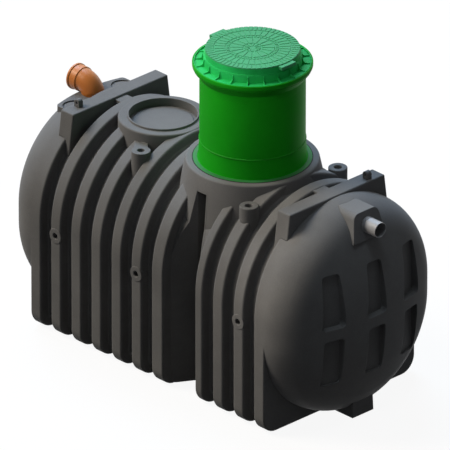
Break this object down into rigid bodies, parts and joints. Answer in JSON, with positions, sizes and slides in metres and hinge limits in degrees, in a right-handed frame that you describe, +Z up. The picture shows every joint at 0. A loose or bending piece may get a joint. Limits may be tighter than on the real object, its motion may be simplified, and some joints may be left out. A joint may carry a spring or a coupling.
{
  "type": "packaged sewage treatment plant",
  "caption": "Ribbed plastic sewage treatment tank with domed ends, a waisted middle, lifting beams, inlet bend, outlet stub and a green access riser with a lid.",
  "frame": {"origin": "middle of the underside, on the ground", "axes": "+X along the tank to the outlet end, +Y across it, +Z up"},
  "size_m": [2.53, 1.196, 1.98],
  "materials": {
    "tank_plastic": "moulded, dull",
    "riser_plastic": "moulded, satin",
    "lid_plastic": "moulded, satin",
    "inlet_plastic": "smooth",
    "outlet_plastic": "smooth"
  },
  "bodies": {
    "root": {"blind_neck": "tank_plastic", "blind_plate": "tank_plastic", "far_side_eyes": "tank_plastic", "front_beam": "tank_plastic", "front_crown": "tank_plastic", "front_dome": "tank_plastic", "front_far_haunch": "tank_plastic", "front_far_post": "tank_plastic", "front_far_wall": "tank_plastic", "front_floor": "tank_plastic", "front_foot": "tank_plastic", "front_lug": "tank_plastic", "front_near_haunch": "tank_plastic", "front_near_post": "tank_plastic", "front_near_wall": "tank_plastic", "inlet_bend": "inlet_plastic", "inlet_platform": "tank_plastic", "lid": "lid_plastic", "lid_frame": "lid_plastic", "main_neck": "tank_plastic", "near_side_eyes": "tank_plastic", "outlet_boss": "tank_plastic", "outlet_pipe": "outlet_plastic", "rear_beam": "tank_plastic", "rear_crown": "tank_plastic", "rear_dome": "tank_plastic", "rear_far_haunch": "tank_plastic", "rear_far_post": "tank_plastic", "rear_far_wall": "tank_plastic", "rear_floor": "tank_plastic", "rear_foot": "tank_plastic", "rear_lug": "tank_plastic", "rear_near_haunch": "tank_plastic", "rear_near_post": "tank_plastic", "rear_near_wall": "tank_plastic", "riser_base": "riser_plastic", "riser_collar": "riser_plastic", "riser_shaft": "riser_plastic", "waist_far_recess": "tank_plastic", "waist_far_shoulders": "tank_plastic", "waist_floor": "tank_plastic", "waist_near_recess": "tank_plastic", "waist_near_shoulders": "tank_plastic"}
  },
  "joints": []
}
